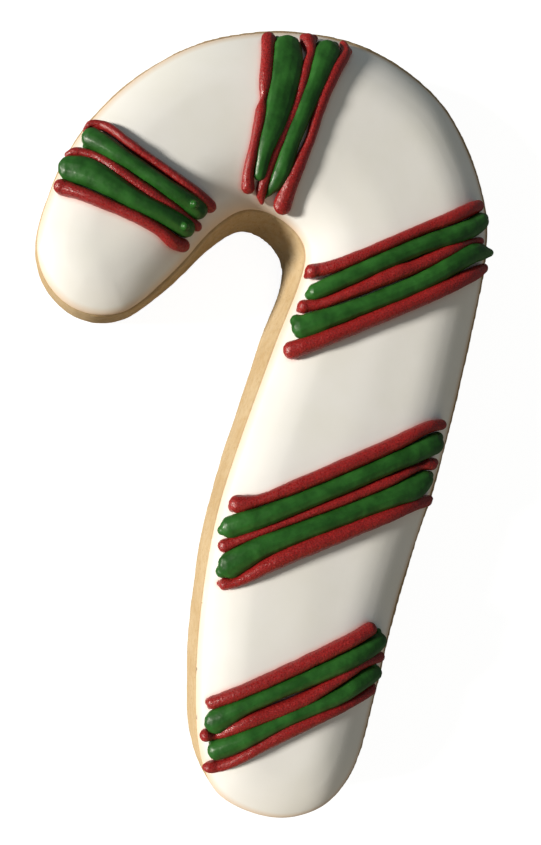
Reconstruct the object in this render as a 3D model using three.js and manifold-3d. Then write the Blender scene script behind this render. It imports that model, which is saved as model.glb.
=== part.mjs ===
// A sugar biscuit cut as a candy cane, flooded with white icing and piped with
// five slanting bands of red and green icing lines.
//
// Millimetres, +Z up. The biscuit lies flat on z = 0, decorated side up, with the
// crown of the hook towards +Y and the tip of the hook towards -X. The origin is
// the middle of the footprint.

import * as THREE from 'three';
import { mergeVertices } from 'three/addons/utils/BufferGeometryUtils.js';
import Module from 'manifold-3d';

const wasm = await Module();
wasm.setup();

// ---------------------------------------------------------------------------
// Driving dimensions
// ---------------------------------------------------------------------------

const BISCUIT_THICKNESS = 8;      // baked dough
const FOOT_ROUND = 0.5;           // radius of the lower edge
const SHOULDER_ROUND = 0.3;       // radius of the upper edge
const WALL_BULGE = 0.12;          // how far the cut wall swells at mid height
const HALFWAY_ROUND = 1 - Math.SQRT1_2;   // share of its radius that is left halfway round an edge

const ICING_THICKNESS = 3.1;      // flooded layer on top of the dough, where it is thickest
const ICING_SET_BACK = 0.3;       // bare rim left between the icing and the edge
const ICING_SHIFT_X = -0.2;       // the layer was flooded slightly off centre
const ICING_SHIFT_Y = -0.15;
const ROLL_RIGHT = 8.3;           // width over which the icing rounds down to edges that face +X
const ROLL_LEFT = 7;              // and to edges that face -X
const ICING_ROLL_STEPS = 7;
const LID_FROM = 6.2;             // past this distance from the edge the facets form a lid
const LID_STEP = 6.5;             // spacing of the places that shape the lid
const LID_MARGIN = 1.5;           // those places keep this clear of the lid's border
const FULLNESS = 0.8;             // 1/2 rounds the edge down as an oval, and 1 as a bow
const THINNING = 1.2;             // the layer settled away from the edges that face -X, by this much
const THINNING_WIDTH = 14;        // and comes up to its thickness over this width
const THINNING_POWER = 1.15;      // 1 comes up evenly, and more comes up sooner
const THINNING_END = 0.1;         // eases the place where it reaches its thickness
const FACES_LEFT = 0.4;           // an edge counts in full from this outward x towards -X
const SEEN_ACROSS = 1 / 3;        // and not at all for places this far round on its outer side
const EDGE_PARTS = 4;             // each stretch of those edges is reckoned in this many parts
const EDGE_SOFTNESS = 0.8;        // evens out the steps between the parts

const RISE_NARROW = 1.1;          // height over width of a thin line
const RISE_BASE = 0.7;            // a wider line rises by this,
const RISE_SLOPE = 0.6;           // and by this share of its width,
const RISE_MAX = 2.2;             // and slumps to no more than this
const RISE_MIN = 0.8;             // a thin tail still rises by this
const LINE_WAIST = 0.42;          // height of the widest place, as a share of the rise
const LINE_SIDES = 8;             // facets round a line
const ROUND_FACETS = 1 / Math.cos(Math.PI / LINE_SIDES);   // sets the middles of the facets on the oval
const LINE_STEP = 2.2;            // length of one facet along a line
const LINE_CAP_STEPS = 2;         // facets from the last ring to the tip of an end
const LINE_MIN_SEAT = 1.0;        // overhanging ends stay this high above the dough
const RED_SPREAD = 0.2;           // a red line spread by this as it settled,
const GREEN_SPREAD = 0.25;        // and a runnier green one by this, all of it towards +X
const BAND_HEIGHTS = [1, 0.75, 1, 1, 1];   // the lines at the crown slumped most

const GAP = 0.3;                  // clearance between a line and the layers it lies on
const LINE_GAP = 0.2;             // clearance between neighbouring lines
const STATIONS_PER_POINT = 3;     // outline facets between two outline points
const WELD = 1e-5;                // points closer than this are one point

// Outline of the biscuit where it meets the table, counter-clockwise from the
// crown of the hook: x, y, and how far the upper edge stands back from the foot.
// The cut wall is upright except inside the crook, where it leans.
const OUTLINE = [
  [5.0, 55.1, 0.2], [-5.0, 54.0, 0.2], [-13.0, 51.1, 0.2], [-21.0, 45.4, 0.2], [-27.4, 37.8, 0.2],
  // outer side and tip of the hook
  [-31.2, 29.6, 0.2], [-32.6, 23.2, 0.2], [-31.3, 18.6, 0.1], [-28.2, 15.3, 0.1], [-24.0, 14.1, 0.1],
  // inner side of the hook, and the crook
  [-20.0, 15.0, 0.2], [-13.0, 20.6, 0.7], [-7.9, 25.5, 1.3], [-4.0, 27.8, 1.5], [-0.6, 27.0, 1.6],
  [1.9, 24.2, 1.9], [2.2, 21.2, 1.2], [-1.0, 12.0, 0.8],
  // left side of the stem
  [-5.6, -1.7, 0.3], [-8.8, -12.3, 0.1], [-10.9, -24.2, 0.1], [-11.7, -37.0, 0.1], [-11.2, -45.0, 0.3],
  // foot of the stem
  [-8.9, -50.4, 0.3], [-4.0, -53.7, 0.2], [1.8, -55.1, 0.2], [7.6, -53.6, 0.2], [11.6, -48.8, 0.2],
  // right side of the stem, and back to the crown
  [14.2, -40.6, 0.2], [18.2, -25.5, 0.2], [24.7, -6.3, 0.2], [29.4, 11.8, 0.2], [31.9, 23.5, 0.2],
  [32.1, 31.2, 0.2], [29.5, 39.6, 0.2], [24.6, 47.2, 0.2], [15.6, 53.0, 0.2],
];

// The piped lines, band by band from the tip of the hook to the foot of the stem,
// each in the order in which its band runs. A line is given by the places that the
// nozzle passed: x, y, and the width of the line there.
const BANDS = [
  {
    red_1: [
      [-26.2, 38.2, 0.5], [-25.5, 39.0, 0.8], [-24.6, 39.0, 1.0], [-23.3, 38.5, 1.2],
      [-20.5, 36.2, 1.2], [-15.4, 32.7, 1.2], [-12.0, 30.4, 1.5], [-10.0, 29.0, 1.7],
    ],
    green_1: [[-25.4, 36.8, 2.6], [-21.0, 33.9, 2.0], [-15.4, 30.3, 2.0], [-11.8, 28.2, 2.4]],
    red_2: [
      [-28.4, 34.8, 0.7], [-27.4, 35.1, 1.2], [-24.9, 34.5, 1.1], [-21.9, 32.5, 1.5],
      [-18.3, 30.1, 1.5], [-14.1, 27.8, 1.1], [-12.7, 27.1, 0.9], [-11.6, 26.3, 1.2],
    ],
    green_2: [[-28.0, 32.7, 3.3], [-26.2, 32.3, 3.6], [-19.4, 28.5, 2.3], [-13.4, 25.7, 2.4]],
    red_3: [
      [-29.2, 30.5, 1.9], [-26.0, 29.3, 1.6], [-17.2, 25.5, 1.4],
      [-14.7, 23.9, 1.8], [-13.5, 23.7, 1.7],
    ],
  },
  {
    red_1: [
      [-1.7, 52.4, 2.0], [-2.0, 50.4, 1.8], [-2.6, 45.7, 1.6], [-2.9, 43.4, 0.8],
      [-3.2, 41.9, 1.4], [-4.1, 37.4, 1.2], [-4.8, 33.8, 1.4], [-4.7, 32.0, 1.8],
    ],
    green_1: [[0.6, 51.0, 3.8], [0.5, 49.4, 4.0], [-1.2, 41.6, 3.1], [-2.8, 36.8, 1.9], [-3.4, 33.7, 1.5]],
    red_2: [
      [3.8, 52.6, 2.2], [4.0, 50.9, 1.3], [3.1, 48.2, 1.4], [1.7, 43.2, 1.2],
      [-0.1, 39.1, 1.2], [-2.0, 34.2, 1.1], [-2.8, 31.8, 1.4], [-2.6, 30.2, 0.5],
    ],
    green_2: [[6.2, 51.0, 3.3], [4.2, 46.2, 2.3], [1.1, 38.7, 2.0], [-0.8, 33.2, 1.9], [-1.9, 31.5, 0.6]],
    red_3: [
      [9.0, 52.9, 1.0], [9.0, 51.3, 1.4], [7.3, 48.4, 1.6], [5.3, 44.1, 1.6],
      [3.6, 38.6, 1.3], [1.8, 34.5, 1.8], [0.9, 32.2, 2.1], [0.2, 29.9, 2.5],
    ],
  },
  {
    red_1: [
      [4.4, 21.0, 2.0], [7.1, 21.6, 1.8], [19.4, 27.0, 1.5],
      [24.4, 29.1, 1.8], [27.6, 30.7, 1.8], [29.0, 31.3, 1.6],
    ],
    green_1: [[4.7, 18.3, 2.1], [19.4, 24.9, 2.3], [27.6, 28.1, 2.5], [29.2, 29.2, 2.4]],
    red_2: [
      [3.2, 16.1, 1.8], [5.6, 16.5, 1.4], [15.7, 20.8, 2.1], [18.4, 21.8, 1.9],
      [23.7, 24.3, 1.7], [27.4, 25.9, 0.9], [29.4, 26.3, 1.1],
    ],
    green_2: [
      [3.0, 13.4, 3.3], [8.7, 15.5, 2.4], [19.0, 19.7, 2.4],
      [27.8, 24.5, 2.6], [29.1, 24.8, 2.3], [31.3, 25.0, 0.8],
    ],
    red_3: [[1.5, 10.1, 2.5], [4.4, 11.1, 2.1], [21.9, 18.5, 2.1], [28.4, 21.6, 1.9], [30.2, 22.5, 1.4]],
  },
  {
    red_1: [
      [-6.1, -10.8, 2.4], [-3.4, -10.3, 1.5], [2.5, -8.1, 1.8],
      [16.0, -2.6, 1.9], [20.8, -0.5, 1.6], [23.3, -0.1, 1.4],
    ],
    green_1: [[-7.0, -13.7, 3.0], [0.4, -11.1, 2.4], [16.9, -4.6, 2.5], [21.8, -2.7, 2.9]],
    red_2: [
      [-7.8, -16.4, 1.8], [-5.6, -15.5, 1.2], [14.4, -8.1, 1.5],
      [18.3, -6.5, 1.1], [19.9, -6.0, 1.0], [21.8, -5.7, 1.7],
    ],
    green_2: [
      [-7.1, -18.7, 3.5], [-3.3, -16.5, 2.8], [3.5, -14.0, 2.4],
      [15.7, -9.8, 2.7], [18.6, -8.8, 3.3], [20.5, -7.7, 2.4],
    ],
    red_3: [
      [-7.9, -21.5, 1.6], [-6.6, -21.3, 1.3], [-1.1, -18.4, 2.2],
      [15.1, -12.5, 2.0], [18.9, -11.3, 1.8], [21.3, -11.0, 1.6],
    ],
  },
  {
    red_1: [[-9.5, -37.3, 1.6], [3.7, -32.0, 1.8], [12.3, -28.4, 1.8]],
    green_1: [
      [-9.1, -39.6, 3.1], [-6.0, -37.8, 2.1], [-1.8, -36.1, 1.9],
      [12.4, -30.8, 2.3], [13.8, -30.1, 2.0],
    ],
    red_2: [
      [-10.4, -41.7, 1.6], [-8.8, -41.8, 0.8], [-7.5, -41.0, 1.4], [-5.5, -40.0, 1.8],
      [2.2, -37.4, 1.8], [11.8, -32.9, 1.4], [14.2, -32.7, 1.4],
    ],
    green_2: [
      [-9.0, -43.5, 2.5], [-0.2, -39.7, 1.8], [7.9, -36.8, 2.0],
      [11.7, -35.0, 2.3], [13.2, -34.6, 2.0],
    ],
    red_3: [
      [-10.4, -46.1, 0.8], [-9.7, -46.0, 1.5], [-8.0, -45.7, 1.4], [-3.7, -43.4, 1.6],
      [-0.1, -41.7, 1.9], [4.0, -40.1, 1.6], [11.3, -37.7, 1.3], [12.8, -37.1, 1.5],
    ],
  },
];

// ---------------------------------------------------------------------------
// Materials
// ---------------------------------------------------------------------------

const BAKED_DOUGH = { color: 0xd9b27c, roughness: 0.85, metalness: 0 };
const WHITE_ICING = { color: 0xf4f1e8, roughness: 0.55, metalness: 0 };
const RED_ICING = { color: 0xb81f28, roughness: 0.5, metalness: 0 };
const GREEN_ICING = { color: 0x1f7a33, roughness: 0.35, metalness: 0 };

// ---------------------------------------------------------------------------
// Solids: joining and cutting
// ---------------------------------------------------------------------------

function toSolid(geometry) {
  const welded = mergeVertices(geometry, WELD);
  return new wasm.Manifold(new wasm.Mesh({
    numProp: 3,
    vertProperties: new Float32Array(welded.attributes.position.array),
    triVerts: new Uint32Array(welded.index.array),
  }));
}

function toGeometry(solid) {
  const mesh = solid.getMesh();
  const geometry = new THREE.BufferGeometry();
  geometry.setAttribute('position', new THREE.BufferAttribute(mesh.vertProperties, 3));
  geometry.setIndex(new THREE.BufferAttribute(mesh.triVerts, 1));
  return geometry;
}

function indexedGeometry(vertices, triangles) {
  const geometry = new THREE.BufferGeometry();
  geometry.setAttribute('position', new THREE.Float32BufferAttribute(vertices.flat(), 3));
  geometry.setIndex(triangles.flat());
  return geometry;
}

// Triangles of the band between two rings of equal size, the second one further along.
function bandTriangles(lower, upper, count) {
  const triangles = [];
  for (let i = 0; i < count; i += 1) {
    const next = (i + 1) % count;
    triangles.push([lower + i, lower + next, upper + next], [lower + i, upper + next, upper + i]);
  }
  return triangles;
}

// The triangle of a face that a place lies in.
function triangleAt(points, triangles, [x, y]) {
  return triangles.findIndex((corners) => corners.every((corner, i) => {
    const [ax, ay] = points[corner];
    const [bx, by] = points[corners[(i + 1) % 3]];
    return (bx - ax) * (y - ay) >= (by - ay) * (x - ax);
  }));
}

// Whether two triangles that share the edge a-b are more compact with the edge c-d.
function isTurnBetter([ax, ay], [bx, by], [cx, cy], [dx, dy]) {
  const crossAtC = (ax - cx) * (by - cy) - (ay - cy) * (bx - cx);
  const dotAtC = (ax - cx) * (bx - cx) + (ay - cy) * (by - cy);
  const crossAtD = (bx - dx) * (ay - dy) - (by - dy) * (ax - dx);
  const dotAtD = (bx - dx) * (ax - dx) + (by - dy) * (ay - dy);
  return crossAtC * dotAtD + dotAtC * crossAtD < -WELD;
}

// Turns one shared edge that makes two triangles more compact, and says whether it did.
function turnOneEdge(points, triangles) {
  const owners = new Map();
  triangles.forEach((corners, k) => {
    corners.forEach((a, i) => owners.set(`${a} ${corners[(i + 1) % 3]}`, [k, corners[(i + 2) % 3]]));
  });
  for (const [edge, [k, c]] of owners) {
    const [a, b] = edge.split(' ').map(Number);
    const [twin, d] = owners.get(`${b} ${a}`) ?? [];
    if (twin !== undefined && isTurnBetter(points[a], points[b], points[c], points[d])) {
      triangles[k] = [c, a, d];
      triangles[twin] = [d, b, c];
      return true;
    }
  }
  return false;
}

// Triangles of a flat face with a border, through the places inside it.
function faceTriangles(border, inside) {
  const points = [...border, ...inside];
  const contour = border.map(([x, y]) => new THREE.Vector2(x, y));
  const triangles = THREE.ShapeUtils.triangulateShape(contour, []);
  inside.forEach((place, i) => {
    const [[a, b, c]] = triangles.splice(triangleAt(points, triangles, place), 1);
    const added = border.length + i;
    triangles.push([a, b, added], [b, c, added], [c, a, added]);
  });
  if (inside.length > 0) {
    while (turnOneEdge(points, triangles));
  }
  return triangles;
}

// ---------------------------------------------------------------------------
// The outline and the two layers that follow it
// ---------------------------------------------------------------------------

// Stations round the outline: place, lean of the wall, and outward direction.
function outlineStations() {
  const rows = OUTLINE.map(([x, y, lean]) => new THREE.Vector3(x, y, lean));
  const curve = new THREE.CatmullRomCurve3(rows, true, 'centripetal');
  const points = curve.getPoints(OUTLINE.length * STATIONS_PER_POINT).slice(0, -1);
  return points.map((point, i) => {
    const before = points[(i + points.length - 1) % points.length];
    const after = points[(i + 1) % points.length];
    const along = new THREE.Vector2(after.x - before.x, after.y - before.y).normalize();
    return { x: point.x, y: point.y, lean: point.z, outX: along.y, outY: -along.x };
  });
}

const STATIONS = outlineStations();

// The outline at a height, moved inwards at each station.
function outlineRing(height, inwardsAt) {
  return STATIONS.map((station) => {
    const inwards = inwardsAt(station);
    return [station.x - station.outX * inwards, station.y - station.outY * inwards, height];
  });
}

// A solid through a stack of rings, closed below by a floor and above by a lid. Places
// inside the top ring may shape the lid.
function loft(rings, insideLid = []) {
  const count = rings[0].length;
  const top = (rings.length - 1) * count;
  const triangles = faceTriangles(rings[0], []).map(([a, b, c]) => [a, c, b]);
  for (let k = 0; k + 1 < rings.length; k += 1) {
    triangles.push(...bandTriangles(k * count, (k + 1) * count, count));
  }
  const lid = faceTriangles(rings.at(-1), insideLid);
  triangles.push(...lid.map((corners) => corners.map((corner) => top + corner)));
  return indexedGeometry([...rings.flat(), ...insideLid], triangles);
}

// Rings of the baked dough, from the rounded foot to the rounded shoulder.
function biscuitRings() {
  const top = BISCUIT_THICKNESS;
  const wall = [
    [0, FOOT_ROUND],
    [FOOT_ROUND * HALFWAY_ROUND, FOOT_ROUND * HALFWAY_ROUND],
    [FOOT_ROUND, 0],
    [top / 2, -WALL_BULGE],
    [top - SHOULDER_ROUND, 0],
    [top - SHOULDER_ROUND * HALFWAY_ROUND, SHOULDER_ROUND * HALFWAY_ROUND],
    [top, SHOULDER_ROUND],
  ];
  return wall.map(([height, setBack]) => (
    outlineRing(height, ({ lean }) => lean * (height / top) + setBack)));
}

function icingEdge(setBack) {
  return outlineRing(BISCUIT_THICKNESS, ({ lean }) => lean + ICING_SET_BACK + setBack)
    .map(([x, y, z]) => [x + ICING_SHIFT_X, y + ICING_SHIFT_Y, z]);
}

const EDGE_OF_ICING = icingEdge(0);

// How far a place lies in from the edge of the icing, or 0 outside it, and the outward x of
// the nearest stretch.
function placeInIcing(x, y) {
  let fromEdge = Infinity;
  let outX = 0;
  let inside = false;
  EDGE_OF_ICING.forEach(([ax, ay], i) => {
    const [bx, by] = EDGE_OF_ICING[(i + 1) % EDGE_OF_ICING.length];
    const along = THREE.MathUtils.clamp(
      ((x - ax) * (bx - ax) + (y - ay) * (by - ay)) / ((bx - ax) ** 2 + (by - ay) ** 2), 0, 1);
    const distance = Math.hypot(x - ax - along * (bx - ax), y - ay - along * (by - ay));
    if (distance < fromEdge) [fromEdge, outX] = [distance, STATIONS[i].outX];
    if ((ay > y) !== (by > y) && x < ax + ((y - ay) / (by - ay)) * (bx - ax)) inside = !inside;
  });
  return { fromEdge: inside ? fromEdge : 0, outX };
}

// Short parts of the edges that face -X, each with its length and outward direction.
function leftEdgeParts() {
  return STATIONS.flatMap(({ outX, outY }, i) => {
    const [ax, ay] = EDGE_OF_ICING[i];
    const [bx, by] = EDGE_OF_ICING[(i + 1) % EDGE_OF_ICING.length];
    const leftward = THREE.MathUtils.clamp(-outX / FACES_LEFT, 0, 1);
    const length = (leftward * Math.hypot(bx - ax, by - ay)) / EDGE_PARTS;
    return Array.from({ length: EDGE_PARTS }, (_, k) => {
      const share = (k + 0.5) / EDGE_PARTS;
      return { x: ax + share * (bx - ax), y: ay + share * (by - ay), outX, outY, length };
    });
  }).filter(({ length }) => length > 0);
}

const LEFT_EDGE_PARTS = leftEdgeParts();

// A soft distance from the edges that face -X, reckoned across the icing only. Each part counts
// by its length over its distance to the fourth, which gives the plain distance for a long
// straight edge.
function fromLeftEdges(x, y) {
  let total = WELD ** 2;
  for (const part of LEFT_EDGE_PARTS) {
    const distance = Math.hypot(x - part.x, y - part.y, EDGE_SOFTNESS);
    const outer = ((x - part.x) * part.outX + (y - part.y) * part.outY) / distance;
    const seen = THREE.MathUtils.clamp(1 - outer / SEEN_ACROSS, 0, 1);
    total += (seen * part.length) / distance ** 4;
  }
  return Math.cbrt(Math.PI / (2 * total));
}

// Height of the icing over the dough: full in the middle, rolled down to its edge,
// and thinner towards the edges that face -X.
function icingHeight(x, y) {
  const { fromEdge, outX } = placeInIcing(x, y);
  const leftward = THREE.MathUtils.clamp(0.5 - outX, 0, 1);
  const short = Math.max(1 - fromEdge / THREE.MathUtils.lerp(ROLL_RIGHT, ROLL_LEFT, leftward), 0);
  const nearLeft = 1 - fromLeftEdges(x, y) / THINNING_WIDTH;
  const thin = ((nearLeft + Math.hypot(nearLeft, THINNING_END)) / 2) ** THINNING_POWER;
  return (1 - short ** 2) ** FULLNESS * (ICING_THICKNESS - THINNING * thin);
}

function raised(places) {
  return places.map(([x, y, z]) => [x, y, z + icingHeight(x, y)]);
}

// Rings of the flooded icing: its flat underside and its rolled edge.
function icingRings() {
  const rings = [EDGE_OF_ICING];
  for (let k = 1; k <= ICING_ROLL_STEPS; k += 1) {
    rings.push(raised(icingEdge(LID_FROM * (k / ICING_ROLL_STEPS) ** 2)));
  }
  return rings;
}

// A lattice of places on the icing, clear of its rolled edge.
function icingMiddle() {
  const reachX = Math.max(...EDGE_OF_ICING.map(([x]) => Math.abs(x)));
  const reachY = Math.max(...EDGE_OF_ICING.map(([, y]) => Math.abs(y)));
  const places = [];
  for (let x = -reachX; x < reachX; x += LID_STEP) {
    for (let y = -reachY; y < reachY; y += LID_STEP) {
      if (placeInIcing(x, y).fromEdge > LID_FROM + LID_MARGIN) places.push([x, y, BISCUIT_THICKNESS]);
    }
  }
  return raised(places);
}

// ---------------------------------------------------------------------------
// Piped lines
// ---------------------------------------------------------------------------

// Height of the surface that a piped line lies on.
function seatHeight(x, y) {
  return BISCUIT_THICKNESS + Math.max(icingHeight(x, y), LINE_MIN_SEAT);
}

function lineRise(width) {
  const rise = Math.min(width * RISE_NARROW, RISE_BASE + width * RISE_SLOPE, RISE_MAX);
  return Math.max(rise, RISE_MIN);
}

// One ring across a line: an oval of a width and a rise round its widest height, cut off below
// by the surface that it lies on. A ring past an end is smaller, by its share.
function lineRing(x, y, side, width, rise, share, margin) {
  const middle = seatHeight(x, y) + rise * LINE_WAIST;
  const halfWidth = (width / 2 + margin) * share * ROUND_FACETS;
  const halfHeight = (rise * (1 - LINE_WAIST) + margin) * share * ROUND_FACETS;
  const ring = [];
  for (let i = 0; i < LINE_SIDES; i += 1) {
    const angle = ((i + 0.5) / LINE_SIDES) * 2 * Math.PI;
    const across = halfWidth * Math.cos(angle);
    const cornerX = x + side.x * across;
    const cornerY = y + side.y * across;
    const lowest = seatHeight(cornerX, cornerY) + GAP - margin;
    ring.push([cornerX, cornerY, Math.max(middle + halfHeight * Math.sin(angle), lowest)]);
  }
  return ring;
}

// A line of icing with rounded ends, along the places that the nozzle passed.
function pipedLine(name, route, height, margin) {
  const isGreen = name.startsWith('green');
  const spread = isGreen ? GREEN_SPREAD : RED_SPREAD;
  const flank = route.at(-1)[1] > route[0][1] ? -1 : 1;   // 1 if its left-hand side faces +X
  const drift = isGreen ? (flank * spread) / 2 : 0;
  const places = route.map(([x, y, width]) => new THREE.Vector3(x, y, width + spread));
  const curve = new THREE.CatmullRomCurve3(places, false, 'centripetal');
  const steps = Math.ceil(curve.getLength() / LINE_STEP);
  // The ring at a share of the length; a turn past it rounds the end off.
  const ringAt = (share, turn) => {
    const place = curve.getPointAt(share);
    const tangent = curve.getTangentAt(share);
    const ahead = new THREE.Vector2(tangent.x, tangent.y).normalize();
    const reach = (place.z / 2 + margin) * Math.sin(turn);
    const side = new THREE.Vector2(-ahead.y, ahead.x);
    const x = place.x + ahead.x * reach + side.x * drift;
    const y = place.y + ahead.y * reach + side.y * drift;
    return lineRing(x, y, side, place.z, height * lineRise(place.z), Math.cos(turn), margin);
  };
  const capTurn = (k) => (k / (LINE_CAP_STEPS + 0.5)) * (Math.PI / 2);
  const rings = [];
  for (let k = LINE_CAP_STEPS; k > 0; k -= 1) rings.push(ringAt(0, -capTurn(k)));
  for (let k = 0; k <= steps; k += 1) rings.push(ringAt(k / steps, 0));
  for (let k = 1; k <= LINE_CAP_STEPS; k += 1) rings.push(ringAt(1, capTurn(k)));
  const triangles = [];
  for (let k = 0; k + 1 < rings.length; k += 1) {
    triangles.push(...bandTriangles(k * LINE_SIDES, (k + 1) * LINE_SIDES, LINE_SIDES));
  }
  const top = (rings.length - 1) * LINE_SIDES;
  for (let i = 1; i + 1 < LINE_SIDES; i += 1) {
    triangles.push([0, i + 1, i], [top, top + i, top + i + 1]);
  }
  return indexedGeometry(rings.flat(), triangles);
}

// ---------------------------------------------------------------------------
// The biscuit
// ---------------------------------------------------------------------------

const cane = new THREE.Group();

function addPiece(name, geometry, finish) {
  geometry.computeVertexNormals();
  const piece = new THREE.Mesh(geometry, new THREE.MeshStandardMaterial(finish));
  piece.name = name;
  cane.add(piece);
}

addPiece('biscuit', loft(biscuitRings()), BAKED_DOUGH);
addPiece('white_icing', loft(icingRings(), icingMiddle()), WHITE_ICING);

// The red lines are piped first, and the green lines settle over their flanks.
BANDS.forEach((band, index) => {
  const pipe = (name, margin) => toSolid(pipedLine(name, band[name], BAND_HEIGHTS[index], margin));
  const greens = Object.keys(band).filter((name) => name.startsWith('green'));
  for (const name of Object.keys(band)) {
    let line = pipe(name, 0);
    if (name.startsWith('red')) {
      for (const green of greens) line = line.subtract(pipe(green, LINE_GAP));
    }
    const finish = name.startsWith('red') ? RED_ICING : GREEN_ICING;
    addPiece(`band_${index + 1}_${name}`, toGeometry(line), finish);
  }
});

// Bring the middle of the footprint to the origin.
const middle = new THREE.Box3().setFromObject(cane).getCenter(new THREE.Vector3());
cane.position.set(-middle.x, -middle.y, 0);

export default cane;
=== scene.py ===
# %% [markdown]
# # An iced candy cane biscuit
#
# A thick sugar biscuit cut as a candy cane, flooded with white icing and piped with five
# slanting bands of red and green lines. The measured solids come first and set every place
# and size. This file puts the finished surfaces over them: the cut crumb of the wall, the
# soft flood of the icing, the grainy red lines and the smooth green ones.
#
# Plain lengths below are in millimetres, and `MM` turns them into Blender's metres.

import math

import bmesh
import bpy
import numpy as np
from mathutils import Matrix, Vector
from mathutils.kdtree import KDTree


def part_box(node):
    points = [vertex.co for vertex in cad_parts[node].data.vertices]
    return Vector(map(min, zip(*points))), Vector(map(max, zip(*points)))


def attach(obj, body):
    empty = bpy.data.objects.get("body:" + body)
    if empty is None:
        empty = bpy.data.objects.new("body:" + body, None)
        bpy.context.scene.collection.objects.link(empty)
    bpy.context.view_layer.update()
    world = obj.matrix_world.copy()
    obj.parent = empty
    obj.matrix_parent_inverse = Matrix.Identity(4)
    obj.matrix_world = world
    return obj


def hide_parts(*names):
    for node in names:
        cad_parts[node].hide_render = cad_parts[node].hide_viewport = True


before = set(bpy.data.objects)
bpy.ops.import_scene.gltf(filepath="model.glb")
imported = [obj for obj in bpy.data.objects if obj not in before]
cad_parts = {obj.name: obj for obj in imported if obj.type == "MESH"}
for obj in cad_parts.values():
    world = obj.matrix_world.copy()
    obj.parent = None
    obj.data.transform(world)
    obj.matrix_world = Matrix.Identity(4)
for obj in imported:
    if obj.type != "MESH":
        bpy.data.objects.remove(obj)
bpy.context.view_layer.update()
MM = 0.001

RED_LINES = sorted(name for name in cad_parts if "_red_" in name)
GREEN_LINES = sorted(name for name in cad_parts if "_green_" in name)
print("solids:", len(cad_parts), "red lines:", len(RED_LINES), "green lines:", len(GREEN_LINES))

# %% [markdown]
# ## The camera
#
# A biscuit on a table is usually seen from above, by someone who leans over one side of it.
# The camera stands over the left edge and looks a little to the right, so the left wall shows
# and the right one hides. It is close, so the wall inside the crook opens up as well.

# %% Camera
CAMERA_PLACE = (-29.22 * MM, 0.18 * MM, 124.5 * MM)
CAMERA_LEAN = math.radians(-13.66)
CAMERA_LENS = 36.895
CAMERA_NEAR = 1 * MM


def add_camera():
    data = bpy.data.cameras.new("camera")
    data.lens = CAMERA_LENS
    data.clip_start = CAMERA_NEAR
    camera = bpy.data.objects.new("camera", data)
    camera.location = CAMERA_PLACE
    camera.rotation_euler = (0, CAMERA_LEAN, 0)
    bpy.context.collection.objects.link(camera)
    bpy.context.scene.camera = camera
    return camera


print("camera at", [round(value, 4) for value in add_camera().location])

# %% [markdown]
# ## The light
#
# Icing is shaped by slow curves, so it needs one lamp that comes in low over the surface. A
# warm lamp stands far off on the left, a weak golden one answers from the foot of the cane, as
# light does that bounced off a table, and a dim cool sky fills the rest of the shadows. Behind
# the object the camera sees a pale backdrop in place of that sky. The standard view transform
# keeps the white of the icing white, where a film-like one would turn it grey.

# %% Lamps and sky
KEY_LAMP = {"height": 20, "heading": -2, "strength": 5.2, "color": (1.0, 0.95, 0.856), "spread": 11}
BOUNCE_LAMP = {"height": 24, "heading": 100, "strength": 0.38, "color": (1.0, 0.6, 0.16), "spread": 60}
SKY_COLOR = (0.155, 0.176, 0.18, 1)
PALE = (0.93, 0.93, 0.925, 1)


def add_lamp(name, lamp):
    """A far lamp, given by its height and by the heading that its light travels in."""
    data = bpy.data.lights.new(name, "SUN")
    data.energy = lamp["strength"]
    data.color = lamp["color"]
    data.angle = math.radians(lamp["spread"])
    height, heading = math.radians(lamp["height"]), math.radians(lamp["heading"])
    travel = Vector((
        math.cos(height) * math.cos(heading),
        math.cos(height) * math.sin(heading),
        -math.sin(height),
    ))
    holder = bpy.data.objects.new(name, data)
    holder.rotation_euler = travel.to_track_quat("-Z", "Y").to_euler()
    bpy.context.collection.objects.link(holder)


def add_sky():
    world = bpy.data.worlds.new("sky")
    world.use_nodes = True
    nodes, links = world.node_tree.nodes, world.node_tree.links
    background = nodes["Background"]
    seen = nodes.new("ShaderNodeLightPath")
    choice = nodes.new("ShaderNodeMix")
    choice.data_type = "RGBA"
    choice.inputs["A"].default_value = SKY_COLOR
    choice.inputs["B"].default_value = PALE
    links.new(seen.outputs["Is Camera Ray"], choice.inputs["Factor"])
    links.new(choice.outputs["Result"], background.inputs["Color"])
    bpy.context.scene.world = world


bpy.context.scene.view_settings.view_transform = "Standard"
add_lamp("key_lamp", KEY_LAMP)
add_lamp("bounce_lamp", BOUNCE_LAMP)
add_sky()
print("lamp heights in degrees:", KEY_LAMP["height"], BOUNCE_LAMP["height"])

# %% [markdown]
# ## The floor
#
# The floor is pale and plain. Most of what the camera sees of it is a glow that lights nothing
# else, so the long shadow of a low lamp stays faint on it.

# %% Floor
FLOOR_HALF = 1.5
FLOOR_DROP = 0.05 * MM
FLOOR_GREY = (0.3, 0.3, 0.3, 1)
FLOOR_GLOW = 0.93
FLOOR_ROUGHNESS = 0.9
WHITE_GLOW = (1, 1, 1, 1)


def floor_material():
    material = bpy.data.materials.new("floor_paper")
    material.use_nodes = True
    nodes, links = material.node_tree.nodes, material.node_tree.links
    shader = nodes["Principled BSDF"]
    shader.inputs["Base Color"].default_value = FLOOR_GREY
    shader.inputs["Roughness"].default_value = FLOOR_ROUGHNESS
    shader.inputs["Specular IOR Level"].default_value = 0
    shader.inputs["Emission Color"].default_value = WHITE_GLOW
    seen = nodes.new("ShaderNodeLightPath")
    glow = nodes.new("ShaderNodeMath")
    glow.operation = "MULTIPLY"
    glow.inputs[1].default_value = FLOOR_GLOW
    links.new(seen.outputs["Is Camera Ray"], glow.inputs[0])
    links.new(glow.outputs["Value"], shader.inputs["Emission Strength"])
    return material


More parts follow.
